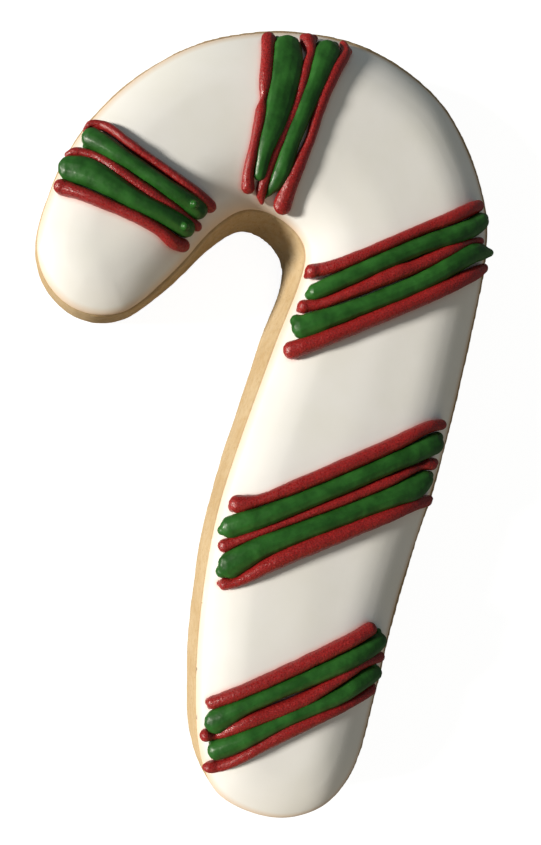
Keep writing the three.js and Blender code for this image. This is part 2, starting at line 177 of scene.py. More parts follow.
def add_floor():
    mesh = bpy.data.meshes.new("floor")
    sheet = bmesh.new()
    bmesh.ops.create_grid(sheet, x_segments=1, y_segments=1, size=FLOOR_HALF)
    sheet.to_mesh(mesh)
    sheet.free()
    mesh.materials.append(floor_material())
    floor = bpy.data.objects.new("floor", mesh)
    floor.location.z = -FLOOR_DROP
    bpy.context.collection.objects.link(floor)
    return floor


print("floor size:", [round(side, 2) for side in add_floor().dimensions[:2]])

# %% [markdown]
# ## Shared effects
#
# Two small node groups serve every finish. `speckle` turns noise into a mask with a chosen
# share of spots, and `grain` adds two sizes of noise into one height for bump. Both read
# object coordinates, so they stay on the piece wherever it is seen from.

# %% Node groups
SPECKLE_DETAIL = 3
COARSE_DETAIL = 4
FINE_DETAIL = 2


def new_group(name, inputs, outputs):
    group = bpy.data.node_groups.new(name, "ShaderNodeTree")
    for label, kind, value in inputs:
        socket = group.interface.new_socket(label, in_out="INPUT", socket_type=kind)
        socket.default_value = value
    for label, kind in outputs:
        group.interface.new_socket(label, in_out="OUTPUT", socket_type=kind)
    return group, group.nodes.new("NodeGroupInput"), group.nodes.new("NodeGroupOutput")


def speckle_group():
    inputs = [
        ("Size per m", "NodeSocketFloat", 1000.0),
        ("Start", "NodeSocketFloat", 0.4),
        ("Full", "NodeSocketFloat", 0.6),
    ]
    group, given, result = new_group("speckle", inputs, [("Mask", "NodeSocketFloat")])
    nodes, links = group.nodes, group.links
    place = nodes.new("ShaderNodeTexCoord")
    noise = nodes.new("ShaderNodeTexNoise")
    noise.inputs["Detail"].default_value = SPECKLE_DETAIL
    spread = nodes.new("ShaderNodeMapRange")
    links.new(place.outputs["Object"], noise.inputs["Vector"])
    links.new(given.outputs["Size per m"], noise.inputs["Scale"])
    links.new(noise.outputs["Fac"], spread.inputs["Value"])
    links.new(given.outputs["Start"], spread.inputs["From Min"])
    links.new(given.outputs["Full"], spread.inputs["From Max"])
    links.new(spread.outputs["Result"], result.inputs["Mask"])
    return group


def grain_group():
    inputs = [
        ("Coarse per m", "NodeSocketFloat", 400.0),
        ("Fine per m", "NodeSocketFloat", 3000.0),
        ("Fine share", "NodeSocketFloat", 0.5),
    ]
    group, given, result = new_group("grain", inputs, [("Height", "NodeSocketFloat")])
    nodes, links = group.nodes, group.links
    place = nodes.new("ShaderNodeTexCoord")
    coarse = nodes.new("ShaderNodeTexNoise")
    fine = nodes.new("ShaderNodeTexNoise")
    coarse.inputs["Detail"].default_value = COARSE_DETAIL
    fine.inputs["Detail"].default_value = FINE_DETAIL
    blend = nodes.new("ShaderNodeMix")
    links.new(place.outputs["Object"], coarse.inputs["Vector"])
    links.new(place.outputs["Object"], fine.inputs["Vector"])
    links.new(given.outputs["Coarse per m"], coarse.inputs["Scale"])
    links.new(given.outputs["Fine per m"], fine.inputs["Scale"])
    links.new(given.outputs["Fine share"], blend.inputs["Factor"])
    links.new(coarse.outputs["Fac"], blend.inputs["A"])
    links.new(fine.outputs["Fac"], blend.inputs["B"])
    links.new(blend.outputs["Result"], result.inputs["Height"])
    return group


SPECKLE = speckle_group()
GRAIN = grain_group()
print("node groups:", SPECKLE.name, GRAIN.name)

# %% [markdown]
# ## Helpers for the finishes
#
# Each helper adds a few nodes to a finish. Most hand on the socket that comes out, which is a
# mask, a colour or a value, and the last two set the shine and the bump. A finish then reads
# like a recipe, from the first colour to the bump.

# %% Helpers for the finishes


def new_finish(name):
    material = bpy.data.materials.new(name)
    material.use_nodes = True
    return material, material.node_tree.nodes["Principled BSDF"]


def speckle(material, per_m, start, full):
    node = material.node_tree.nodes.new("ShaderNodeGroup")
    node.node_tree = SPECKLE
    node.inputs["Size per m"].default_value = per_m
    node.inputs["Start"].default_value = start
    node.inputs["Full"].default_value = full
    return node.outputs["Mask"]


def mix_colors(material, mask, first, second):
    """A colour that goes from the first to the second where the mask is white."""
    links = material.node_tree.links
    node = material.node_tree.nodes.new("ShaderNodeMix")
    node.data_type = "RGBA"
    if isinstance(mask, float):
        node.inputs["Factor"].default_value = mask
    else:
        links.new(mask, node.inputs["Factor"])
    for label, color in (("A", first), ("B", second)):
        if isinstance(color, tuple):
            node.inputs[label].default_value = (*color, 1)
        else:
            links.new(color, node.inputs[label])
    return node.outputs["Result"]


def mix_values(material, mask, first, second):
    node = material.node_tree.nodes.new("ShaderNodeMapRange")
    node.inputs["To Min"].default_value = first
    node.inputs["To Max"].default_value = second
    material.node_tree.links.new(mask, node.inputs["Value"])
    return node.outputs["Result"]


def height_mask(material, start, full, share):
    """A mask that grows from 0 at one height to its share at another."""
    nodes, links = material.node_tree.nodes, material.node_tree.links
    place = nodes.new("ShaderNodeTexCoord")
    parts = nodes.new("ShaderNodeSeparateXYZ")
    spread = nodes.new("ShaderNodeMapRange")
    spread.inputs["From Min"].default_value = start
    spread.inputs["From Max"].default_value = full
    spread.inputs["To Max"].default_value = share
    links.new(place.outputs["Object"], parts.inputs["Vector"])
    links.new(parts.outputs["Z"], spread.inputs["Value"])
    return spread.outputs["Result"]


def stored_mask(material, attribute):
    node = material.node_tree.nodes.new("ShaderNodeAttribute")
    node.attribute_name = attribute
    return node.outputs["Fac"]


def shine(material, shader, mask, roughness, specular):
    """Roughness from one value to another where the mask is white, and an even specular level."""
    material.node_tree.links.new(mix_values(material, mask, *roughness), shader.inputs["Roughness"])
    shader.inputs["Specular IOR Level"].default_value = specular


def add_bump(material, shader, coarse_per_m, fine_per_m, fine_share, strength, depth):
    nodes, links = material.node_tree.nodes, material.node_tree.links
    grain = nodes.new("ShaderNodeGroup")
    grain.node_tree = GRAIN
    grain.inputs["Coarse per m"].default_value = coarse_per_m
    grain.inputs["Fine per m"].default_value = fine_per_m
    grain.inputs["Fine share"].default_value = fine_share
    bump = nodes.new("ShaderNodeBump")
    bump.inputs["Strength"].default_value = strength
    bump.inputs["Distance"].default_value = depth
    links.new(grain.outputs["Height"], bump.inputs["Height"])
    links.new(bump.outputs["Normal"], shader.inputs["Normal"])


# %% [markdown]
# ## Baked dough
#
# Baked dough is matt and golden, paler in soft patches and pitted with open crumb. Darker
# spots are painted shade, standing in for the dark inside the small pits of the crumb. It is
# darker in a line at the foot, partly browning where it touched the tray and partly painted
# contact shade, and browner along its upper edge, which baked fastest.

# %% Dough
DOUGH_LIGHT = (0.515, 0.39, 0.235)
DOUGH_DEEP = (0.445, 0.31, 0.16)
# Painted shade: the dark inside the small pits of the crumb.
DOUGH_PIT_SHADE = (0.36, 0.23, 0.11)
# Browning at the foot, with painted contact shade.
DOUGH_FOOT_BROWN_AND_SHADE = (0.27, 0.14, 0.05)
DOUGH_EDGE = (0.25, 0.165, 0.095)
DOUGH_PATCHES = {"per_m": 170, "start": 0.38, "full": 0.62}
DOUGH_CRUMBS = {"per_m": 1100, "start": 0.40, "full": 0.66}
# Spots of painted pit shade.
DOUGH_PIT_SHADE_SPOTS = {"per_m": 2300, "start": 0.63, "full": 0.72}
CRUMB_SHARE = 0.45
# The foot line: browning with painted contact shade.
FOOT_BROWNING_AND_SHADE = {"start": 0.7 * MM, "full": 0.1 * MM, "share": 1.0}
BROWN_EDGE = {"start": 7.45 * MM, "full": 7.9 * MM, "share": 0.5}
DOUGH_SHINE = {"roughness": (0.72, 0.9), "specular": 0.25}
DOUGH_BUMP = {
    "coarse_per_m": 900, "fine_per_m": 3800, "fine_share": 0.45, "strength": 0.55, "depth": 0.25 * MM,
}


def dough_material():
    material, shader = new_finish("baked_dough")
    crumbs = speckle(material, **DOUGH_CRUMBS)
    slow = mix_colors(material, speckle(material, **DOUGH_PATCHES), DOUGH_LIGHT, DOUGH_DEEP)
    quick = mix_colors(material, crumbs, DOUGH_LIGHT, DOUGH_DEEP)
    color = mix_colors(material, CRUMB_SHARE, slow, quick)
    # Darker spots: painted shade of the crumb's pits.
    color = mix_colors(material, speckle(material, **DOUGH_PIT_SHADE_SPOTS), color, DOUGH_PIT_SHADE)
    # A darker line at the foot: browning and painted contact shade.
    color = mix_colors(material, height_mask(material, **FOOT_BROWNING_AND_SHADE), color, DOUGH_FOOT_BROWN_AND_SHADE)
    color = mix_colors(material, height_mask(material, **BROWN_EDGE), color, DOUGH_EDGE)
    material.node_tree.links.new(color, shader.inputs["Base Color"])
    shine(material, shader, crumbs, **DOUGH_SHINE)
    add_bump(material, shader, **DOUGH_BUMP)
    return material


DOUGH = dough_material()
print("finish:", DOUGH.name)

# %% [markdown]
# ## White icing
#
# White icing dries satin and almost even. Two masks that are stored on its points tint it:
# the dough shines through where it is thin, and red colouring creeps in beside the red lines.
# Both tints are partly painted light as well: warm bounce light from the dough wall in the
# tan, and red bounce light from the lines in the pink.

# %% White icing finish
ICING_WHITE = (0.86, 0.85, 0.835)
ICING_CREAM = (0.83, 0.82, 0.785)
# Tan of thin icing over the dough, partly painted warm bounce light.
ICING_THIN_AND_WARM_BOUNCE = (0.72, 0.56, 0.42)
# Pink of dye stain, partly painted red bounce light.
ICING_PINK_STAIN_AND_BOUNCE = (0.80, 0.45, 0.42)
ICING_CLOUDS = {"per_m": 120, "start": 0.35, "full": 0.65}
ICING_SATIN = {"per_m": 500, "start": 0.3, "full": 0.7}
ICING_SHINE = {"roughness": (0.42, 0.56), "specular": 0.35}
ICING_BUMP = {
    "coarse_per_m": 260, "fine_per_m": 2200, "fine_share": 0.25, "strength": 0.12, "depth": 0.2 * MM,
}


def white_icing_material():
    material, shader = new_finish("white_icing")
    color = mix_colors(material, speckle(material, **ICING_CLOUDS), ICING_WHITE, ICING_CREAM)
    # Tan rim: thin icing, and painted warm bounce light from the dough wall.
    color = mix_colors(material, stored_mask(material, "thin_rim_and_warm_bounce"), color, ICING_THIN_AND_WARM_BOUNCE)
    # Pink beside the red lines: dye stain, and painted red bounce light.
    color = mix_colors(material, stored_mask(material, "red_stain_and_bounce"), color, ICING_PINK_STAIN_AND_BOUNCE)
    material.node_tree.links.new(color, shader.inputs["Base Color"])
    shine(material, shader, speckle(material, **ICING_SATIN), **ICING_SHINE)
    add_bump(material, shader, **ICING_BUMP)
    return material


WHITE = white_icing_material()
print("finish:", WHITE.name)

# %% [markdown]
# ## Red and green icing
#
# The red icing dried grainy, with tiny glints, and the green icing stayed smooth, with softer
# and larger lights. Both follow one recipe with other numbers, so one function makes them: two
# depths of one colour, a speckled shine and a bump.

# %% Red and green finishes
RED_ICING = {
    "deep": (0.17, 0.006, 0.006),
    "bright": (0.35, 0.015, 0.014),
    "clouds": {"per_m": 6200, "start": 0.38, "full": 0.66},
    "satin": {"per_m": 4200, "start": 0.4, "full": 0.6},
    "shine": {"roughness": (0.24, 0.5), "specular": 0.45},
    "bump": {
        "coarse_per_m": 2400, "fine_per_m": 5600, "fine_share": 0.6, "strength": 0.75, "depth": 0.16 * MM,
    },
}
GREEN_ICING = {
    "deep": (0.010, 0.064, 0.007),
    "bright": (0.022, 0.115, 0.016),
    "clouds": {"per_m": 420, "start": 0.36, "full": 0.64},
    "satin": {"per_m": 1500, "start": 0.35, "full": 0.65},
    "shine": {"roughness": (0.33, 0.46), "specular": 0.32},
    "bump": {
        "coarse_per_m": 900, "fine_per_m": 3200, "fine_share": 0.4, "strength": 0.25, "depth": 0.16 * MM,
    },
}


def colored_icing_material(name, recipe):
    material, shader = new_finish(name)
    clouds = speckle(material, **recipe["clouds"])
    color = mix_colors(material, clouds, recipe["deep"], recipe["bright"])
    material.node_tree.links.new(color, shader.inputs["Base Color"])
    shine(material, shader, speckle(material, **recipe["satin"]), **recipe["shine"])
    add_bump(material, shader, **recipe["bump"])
    return material


RED = colored_icing_material("red_icing", RED_ICING)
GREEN = colored_icing_material("green_icing", GREEN_ICING)
print("finishes:", RED.name, GREEN.name)

# %% [markdown]
# ## Working on a copy of a solid
#
# A piece that starts as a copy of its measured solid can't drift from its place. A voxel
# remesh gives it an even skin of small faces, smoothing softens the corners, and noise moves
# the skin in and out. The result is written back as a plain mesh.

# %% Copies and skins
MERGE_REACH = 0.002 * MM
SKIN_FACTOR = 0.5
LUMP_DEPTH = 1
LUMP_MIDDLE = 0.5


def new_piece(name, mesh, finish):
    mesh.name = name
    mesh.materials.clear()
    mesh.materials.append(finish)
    piece = bpy.data.objects.new(name, mesh)
    bpy.context.collection.objects.link(piece)
    return piece


def copy_of_solid(node, name, finish):
    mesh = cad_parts[node].data.copy()
    shape = bmesh.new()
    shape.from_mesh(mesh)
    bmesh.ops.remove_doubles(shape, verts=shape.verts, dist=MERGE_REACH)
    bmesh.ops.recalc_face_normals(shape, faces=shape.faces)
    for face in shape.faces:
        face.material_index = 0
    shape.to_mesh(mesh)
    shape.free()
    return new_piece(name, mesh, finish)


def add_skin(piece, voxel, smoothing):
    """An even skin of small faces, smoothed a number of times."""
    remesh = piece.modifiers.new("skin", "REMESH")
    remesh.mode = "VOXEL"
    remesh.voxel_size = voxel * MM
    smooth = piece.modifiers.new("soften", "SMOOTH")
    smooth.factor = SKIN_FACTOR
    smooth.iterations = smoothing


def add_lumps(piece, name, size, height):
    """Moves the skin in and out by soft noise of a size and a height in millimetres."""
    texture = bpy.data.textures.new(name, "CLOUDS")
    texture.noise_scale = size * MM
    texture.noise_depth = LUMP_DEPTH
    lumps = piece.modifiers.new(name, "DISPLACE")
    lumps.texture = texture
    lumps.texture_coords = "LOCAL"
    lumps.strength = height * MM
    lumps.mid_level = LUMP_MIDDLE


def apply_modifiers(piece):
    graph = bpy.context.evaluated_depsgraph_get()
    finished = bpy.data.meshes.new_from_object(piece.evaluated_get(graph))
    finished.name = piece.data.name
    piece.modifiers.clear()
    piece.data = finished
    finished.polygons.foreach_set("use_smooth", np.ones(len(finished.polygons), dtype=bool))
    finished.update()


def take_place(piece, node):
    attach(piece, "root")
    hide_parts(node)


def points_of(mesh):
    """The points of a mesh in millimetres."""
    places = np.empty(len(mesh.vertices) * 3)
    mesh.vertices.foreach_get("co", places)
    return places.reshape(-1, 3) / MM


def move_points(mesh, places):
    mesh.vertices.foreach_set("co", (places * MM).ravel())
    mesh.update()


print("points closer than", MERGE_REACH / MM, "mm become one")

# %% [markdown]
# ## Borders as curves
#
# The measured solids are faceted, and low light shows every facet of a wall. The corners of
# their borders lie on one smooth closed curve, so that curve is drawn through the corners
# again, and walls and edges are moved onto it.

# %% Borders
LOWEST_LAYER = 0.01 * MM


def border_of(node):
    """The corners round a solid's flat underside, in order, in millimetres."""
    shape = bmesh.new()
    shape.from_mesh(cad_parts[node].data)
    bmesh.ops.remove_doubles(shape, verts=shape.verts, dist=MERGE_REACH)
    lowest = min(vert.co.z for vert in shape.verts)
    low = {vert for vert in shape.verts if vert.co.z < lowest + LOWEST_LAYER}
    beside = {vert: [] for vert in low}
    for edge in shape.edges:
        beside_wall = any(not low.issuperset(face.verts) for face in edge.link_faces)
        if low.issuperset(edge.verts) and beside_wall:
            first, second = edge.verts
            beside[first].append(second)
            beside[second].append(first)
    start = next(vert for vert in low if len(beside[vert]) == 2)
    loop, before, here = [], None, start
    while here is not start or not loop:
        loop.append(tuple(here.co[:2]))
        before, here = here, next(vert for vert in beside[here] if vert is not before)
    shape.free()
    corners = np.array(loop) / MM
    nexts = np.roll(corners, -1, axis=0)
    turns_left = (corners[:, 0] * nexts[:, 1] - corners[:, 1] * nexts[:, 0]).sum() > 0
    return corners if turns_left else corners[::-1].copy()


def on_curve(corners, index, share):
    """Places on the smooth closed curve through the corners, a share past each index."""
    count = len(corners)
    before, first, second, beyond = (corners[(index + step) % count] for step in (-1, 0, 1, 2))
    share = share[:, None]
    slope = second - before
    bend = 2 * before - 5 * first + 4 * second - beyond
    twist = 3 * first - before - 3 * second + beyond
    return first + 0.5 * share * (slope + share * (bend + share * twist))


def finer(corners, parts):
    """The curve through the corners, with a number of places for each stretch."""
    index = np.repeat(np.arange(len(corners)), parts)
    share = np.tile(np.arange(parts) / parts, len(corners))
    return on_curve(corners, index, share)


def outwards(corners):
    """The outward direction of each straight stretch of a border."""
    along = np.roll(corners, -1, axis=0) - corners
    along /= np.linalg.norm(along, axis=1)[:, None]
    return np.stack([along[:, 1], -along[:, 0]], axis=1)


def from_border(places, corners):
    """Distance inwards from a border, negative outside it, with the nearest stretch and share."""
    places = places[:, :2]
    nearest = np.full(len(places), np.inf)
    stretch = np.zeros(len(places), dtype=int)
    shares = np.zeros(len(places))
    inside = np.zeros(len(places), dtype=bool)
    for index, (start, end) in enumerate(zip(corners, np.roll(corners, -1, axis=0))):
        along = end - start
        share = ((places - start) @ along / (along @ along)).clip(0, 1)
        distance = np.hypot(*(places - start - share[:, None] * along).T)
        closer = distance < nearest
        nearest[closer], stretch[closer], shares[closer] = distance[closer], index, share[closer]
        if start[1] != end[1]:
            crosses = (start[1] > places[:, 1]) != (end[1] > places[:, 1])
            reach = start[0] + (places[:, 1] - start[1]) / along[1] * along[0]
            inside ^= crosses & (places[:, 0] < reach)
    return np.where(inside, nearest, -nearest), stretch, shares


BISCUIT_BORDER = border_of("biscuit")
print("corners round the biscuit:", len(BISCUIT_BORDER))

# %% [markdown]
# ## The biscuit
#
# A cutter leaves a nearly straight wall, and baking swells it and opens the crumb. Two sizes
# of noise do this: a slow one makes the wall wander, and a fine one raises the crumb. The
# underside is pressed flat again, as the tray did.

# %% Biscuit
BISCUIT_VOXEL = 0.42
BISCUIT_SMOOTHING = 2
CURVE_REACH = 4
SLOW_WANDER = {"size": 7, "height": 0.22}
OPEN_CRUMB = {"size": 1.3, "height": 0.10}


def round_facets(places, corners):
    """Moves places near a border from its straight stretches onto the curve through its corners."""
    distance, stretch, share = from_border(places, corners)
    start, end = corners[stretch], corners[(stretch + 1) % len(corners)]
    offset = on_curve(corners, stretch, share) - start - share[:, None] * (end - start)
    weight = (1 - np.abs(distance) / CURVE_REACH).clip(0, 1)
    places[:, :2] += offset * weight[:, None]
    return places


def make_biscuit():
    piece = copy_of_solid("biscuit", "biscuit_crumb", DOUGH)
    add_skin(piece, BISCUIT_VOXEL, BISCUIT_SMOOTHING)
    apply_modifiers(piece)
    move_points(piece.data, round_facets(points_of(piece.data), BISCUIT_BORDER))
    add_lumps(piece, "slow_wander", **SLOW_WANDER)
    add_lumps(piece, "open_crumb", **OPEN_CRUMB)
    apply_modifiers(piece)
    places = points_of(piece.data)
    places[:, 2] = places[:, 2].clip(0)
    move_points(piece.data, places)
    take_place(piece, "biscuit")
    return piece


biscuit = make_biscuit()
print("biscuit faces:", len(biscuit.data.polygons))

# %% [markdown]
# ## The flooded icing
#
# Runny icing is held at its edge by its own skin, so it stands in a rounded roll there and
# levels out towards the middle. This one settled to the right while it was wet and is thinner
# along its left edges. One function gives its height at any place, so the skin of the layer
# and the seats of the piped lines all follow the same curve.

# %% Height of the icing
BORDER_PARTS = 4
ICING_THICKNESS = 3.1
ROLL_RIGHT = 8.3
ROLL_LEFT = 7
FULLNESS = 0.8
THINNING = 1.2
THINNING_WIDTH = 14
THINNING_POWER = 1.15
THINNING_END = 0.1
FACES_LEFT = 0.4
SEEN_ACROSS = 1 / 3
EDGE_SOFTNESS = 0.8
NEARLY_NOTHING = 1e-9

ICING_BORDER = finer(border_of("white_icing"), BORDER_PARTS)
BORDER_OUT = outwards(ICING_BORDER)
ICING_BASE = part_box("white_icing")[0][2] / MM


def icing_profile(inwards, out_x, from_left):
    """Height over the dough, by how far and how turned the nearest edge is, and how far the left ones."""
    faces_left = np.clip(0.5 - out_x, 0, 1)
    roll = ROLL_RIGHT + (ROLL_LEFT - ROLL_RIGHT) * faces_left
    short = np.clip(1 - inwards / roll, 0, 1)
    near_left = 1 - from_left / THINNING_WIDTH
    thin = (near_left + np.hypot(near_left, THINNING_END)) / 2
    return (1 - short**2) ** FULLNESS * (ICING_THICKNESS - THINNING * thin**THINNING_POWER)


def from_left_edges(places):
    """A soft distance from the edges that face left, reckoned across the icing only.

    Beside a long straight edge the sum below comes to pi / (2 * distance cubed).
    """
    total = np.full(len(places), NEARLY_NOTHING)
    lengths = np.linalg.norm(np.roll(ICING_BORDER, -1, axis=0) - ICING_BORDER, axis=1)
    for corner, out, length in zip(ICING_BORDER, BORDER_OUT, lengths):
        leftward = min(-out[0] / FACES_LEFT, 1)
        if leftward > 0:
            steps = places[:, :2] - corner
            squared = (steps**2).sum(axis=1) + EDGE_SOFTNESS**2
            seen = (1 - steps @ out / np.sqrt(squared) / SEEN_ACROSS).clip(0, 1)
            total += leftward * length * seen / squared**2
    return np.cbrt(np.pi / (2 * total))


def icing_height(places):
    inwards, stretch, _ = from_border(places, ICING_BORDER)
    return icing_profile(inwards.clip(0), BORDER_OUT[stretch, 0], from_left_edges(places))


STEM_MIDDLE = (10.0, 0.0)
print("stretches round the icing:", len(ICING_BORDER))
print("height over the middle of the stem:", icing_height(np.array([STEM_MIDDLE])).round(2))

# %% [markdown]
# The skin of a copy of the solid is laid onto that curve. Points in the middle move straight up
# or down. The rim is too steep for that, so each point beside it moves to the nearest place on
# the curve. Below the rim the layer tucks into the dough, and the last smoothing evens out the
# faint creases where the rolls of two edges meet.

# %% White icing
ICING_VOXEL = 0.36
ICING_SMOOTHING = 2
ICING_DEPTH = 1.0
UNDERSIDE = 0.01
TOP_FROM = -0.3
ICING_TUCK = 0.7
RIM_WIDTH = 2.0
RIM_REACH = 1.2 * RIM_WIDTH
RIM_SAMPLES = 60
SOFT_FROM = 4
SOFT_ROUNDS = 30
SLOW_WAVES = {"size": 16, "height": 0.12}


def settle_rim(places, inwards, stretch):
    """Moves the points beside the rim straight onto the curve of the edge."""
    steps = RIM_REACH * np.linspace(0, 1, RIM_SAMPLES) ** 2
    out_x, from_left = BORDER_OUT[stretch, 0], from_left_edges(places)
    heights = icing_profile(steps[None, :], out_x[:, None], from_left[:, None])
    gap = np.hypot(steps - inwards[:, None], ICING_BASE + heights - places[:, 2:3])
    best = gap.argmin(axis=1)
    places[:, :2] -= BORDER_OUT[stretch] * (steps[best] - inwards)[:, None]
    places[:, 2] = ICING_BASE + heights[np.arange(len(places)), best]
    return places


def soften_middle(piece, inwards):
    """Smooths the points that lie well inwards from the rim."""
    group = piece.vertex_groups.new(name="middle")
    group.add(np.flatnonzero(inwards > SOFT_FROM).tolist(), 1.0, "REPLACE")
    smooth = piece.modifiers.new("soft_middle", "SMOOTH")
    smooth.vertex_group = group.name
    smooth.iterations = SOFT_ROUNDS


def make_icing():
    piece = copy_of_solid("white_icing", "white_icing_flood", WHITE)
    places = points_of(piece.data)
    places[places[:, 2] < ICING_BASE + UNDERSIDE, 2] -= ICING_DEPTH
    move_points(piece.data, places)
    add_skin(piece, ICING_VOXEL, ICING_SMOOTHING)
    apply_modifiers(piece)
    places = points_of(piece.data)
    inwards, stretch, _ = from_border(places, ICING_BORDER)
    upper = places[:, 2] > ICING_BASE + TOP_FROM
    rim = upper & (inwards < RIM_WIDTH)
    middle = upper & ~rim
    places[middle, 2] = ICING_BASE + icing_height(places[middle])
    places[rim] = settle_rim(places[rim], inwards[rim], stretch[rim])
    tucked = ~upper & (inwards < ICING_TUCK)
    shift = (ICING_TUCK - inwards[tucked])[:, None]
    places[tucked, :2] -= BORDER_OUT[stretch[tucked]] * shift
    move_points(piece.data, places)
    soften_middle(piece, np.where(upper, inwards, 0))
    add_lumps(piece, "slow_waves", **SLOW_WAVES)
    apply_modifiers(piece)
    take_place(piece, "white_icing")
    return piece


icing = make_icing()
print("icing faces:", len(icing.data.polygons))

# %% [markdown]
# ## The piped lines
#
# A piped line is a row of soft blobs that ran together, so that is how it is made. Balls follow
# a smooth curve through the places that the nozzle passed, each as wide as the line is there,
# and a voxel remesh melts them into one bead. A few more dabs square off or sharpen the ends,
# where the nozzle was lifted, and on two lines a small peak stands where it pulled up.
#
# Each place below is x, y and width. Low widths are necks, and high ones at an end are blobs.

# %% Where the nozzle went
ROUTES = {
    "band_1_red_1": [
        (-26.2, 38.2, 0.5), (-25.5, 39.0, 0.8), (-24.6, 39.0, 1.0), (-23.3, 38.5, 1.2),
        (-20.5, 36.2, 1.2), (-15.4, 32.7, 1.2), (-12.0, 30.4, 1.5), (-10.0, 29.0, 1.7),
    ],
    "band_1_green_1": [(-25.4, 36.8, 2.6), (-21.0, 33.9, 2.0), (-15.4, 30.3, 2.0), (-11.8, 28.2, 2.4)],
    "band_1_red_2": [
        (-28.4, 34.8, 0.7), (-27.4, 35.1, 1.2), (-24.9, 34.5, 1.1), (-21.9, 32.5, 1.5),
        (-18.3, 30.1, 1.5), (-14.1, 27.8, 1.1), (-12.7, 27.1, 0.9), (-11.6, 26.3, 1.2),
    ],
    "band_1_green_2": [(-28.0, 32.7, 3.3), (-26.2, 32.3, 3.6), (-19.4, 28.5, 2.3), (-13.4, 25.7, 2.4)],
    "band_1_red_3": [
        (-29.2, 30.5, 1.9), (-26.0, 29.3, 1.6), (-17.2, 25.5, 1.4), (-14.7, 23.9, 1.8), (-13.5, 23.7, 1.7),
    ],
    "band_2_red_1": [
        (-1.7, 52.4, 2.0), (-2.0, 50.4, 1.8), (-2.6, 45.7, 1.6), (-2.9, 43.4, 0.8),
        (-3.2, 41.9, 1.4), (-4.1, 37.4, 1.2), (-4.8, 33.8, 1.4), (-4.7, 32.0, 1.8),
    ],
    "band_2_green_1": [
        (0.6, 51.0, 3.8), (0.5, 49.4, 4.0), (-1.2, 41.6, 3.1), (-2.8, 36.8, 1.9), (-3.4, 33.7, 1.5),
    ],
    "band_2_red_2": [
        (3.8, 52.6, 2.2), (4.0, 50.9, 1.3), (3.1, 48.2, 1.4), (1.7, 43.2, 1.2),
        (-0.1, 39.1, 1.2), (-2.0, 34.2, 1.1), (-2.8, 31.8, 1.4), (-2.6, 30.2, 0.5),
    ],
    "band_2_green_2": [
        (6.2, 51.0, 3.3), (4.2, 46.2, 2.3), (1.1, 38.7, 2.0), (-0.8, 33.2, 1.9), (-1.9, 31.5, 0.6),
    ],
    "band_2_red_3": [
        (9.0, 52.9, 1.0), (9.0, 51.3, 1.4), (7.3, 48.4, 1.6), (5.3, 44.1, 1.6),
        (3.6, 38.6, 1.3), (1.8, 34.5, 1.8), (0.9, 32.2, 2.1), (0.2, 29.9, 2.5),
    ],
    "band_3_red_1": [
        (4.4, 21.0, 2.0), (7.1, 21.6, 1.8), (19.4, 27.0, 1.5),
        (24.4, 29.1, 1.8), (27.6, 30.7, 1.8), (29.0, 31.3, 1.6),
    ],
    "band_3_green_1": [(4.7, 18.3, 2.1), (19.4, 24.9, 2.3), (27.6, 28.1, 2.5), (29.2, 29.2, 2.4)],
    "band_3_red_2": [
        (3.2, 16.1, 1.8), (5.6, 16.5, 1.4), (15.7, 20.8, 2.1), (18.4, 21.8, 1.9),
        (23.7, 24.3, 1.7), (27.4, 25.9, 0.9), (29.4, 26.3, 1.1),
    ],
    "band_3_green_2": [
        (3.0, 13.4, 3.3), (8.7, 15.5, 2.4), (19.0, 19.7, 2.4),
        (27.8, 24.5, 2.6), (29.1, 24.8, 2.3), (31.3, 25.0, 0.8),
    ],
    "band_3_red_3": [
        (1.5, 10.1, 2.5), (4.4, 11.1, 2.1), (21.9, 18.5, 2.1), (28.4, 21.6, 1.9), (30.2, 22.5, 1.4),
    ],
    "band_4_red_1": [
        (-6.1, -10.8, 2.4), (-3.4, -10.3, 1.5), (2.5, -8.1, 1.8),
        (16.0, -2.6, 1.9), (20.8, -0.5, 1.6), (23.3, -0.1, 1.4),
    ],
    "band_4_green_1": [(-7.0, -13.7, 3.0), (0.4, -11.1, 2.4), (16.9, -4.6, 2.5), (21.8, -2.7, 2.9)],
    "band_4_red_2": [
        (-7.8, -16.4, 1.8), (-5.6, -15.5, 1.2), (14.4, -8.1, 1.5),
        (18.3, -6.5, 1.1), (19.9, -6.0, 1.0), (21.8, -5.7, 1.7),
    ],
    "band_4_green_2": [
        (-7.1, -18.7, 3.5), (-3.3, -16.5, 2.8), (3.5, -14.0, 2.4),
        (15.7, -9.8, 2.7), (18.6, -8.8, 3.3), (20.5, -7.7, 2.4),
    ],
    "band_4_red_3": [
        (-7.9, -21.5, 1.6), (-6.6, -21.3, 1.3), (-1.1, -18.4, 2.2),
        (15.1, -12.5, 2.0), (18.9, -11.3, 1.8), (21.3, -11.0, 1.6),
    ],
    "band_5_red_1": [(-9.5, -37.3, 1.6), (3.7, -32.0, 1.8), (12.3, -28.4, 1.8)],
    "band_5_green_1": [
        (-9.1, -39.6, 3.1), (-6.0, -37.8, 2.1), (-1.8, -36.1, 1.9), (12.4, -30.8, 2.3), (13.8, -30.1, 2.0),
    ],
    "band_5_red_2": [
        (-10.4, -41.7, 1.6), (-8.8, -41.8, 0.8), (-7.5, -41.0, 1.4), (-5.5, -40.0, 1.8),
        (2.2, -37.4, 1.8), (11.8, -32.9, 1.4), (14.2, -32.7, 1.4),
    ],
    "band_5_green_2": [
        (-9.0, -43.5, 2.5), (-0.2, -39.7, 1.8), (7.9, -36.8, 2.0), (11.7, -35.0, 2.3), (13.2, -34.6, 2.0),
    ],
    "band_5_red_3": [
        (-10.4, -46.1, 0.8), (-9.7, -46.0, 1.5), (-8.0, -45.7, 1.4), (-3.7, -43.4, 1.6),
        (-0.1, -41.7, 1.9), (4.0, -40.1, 1.6), (11.3, -37.7, 1.3), (12.8, -37.1, 1.5),
    ],
}

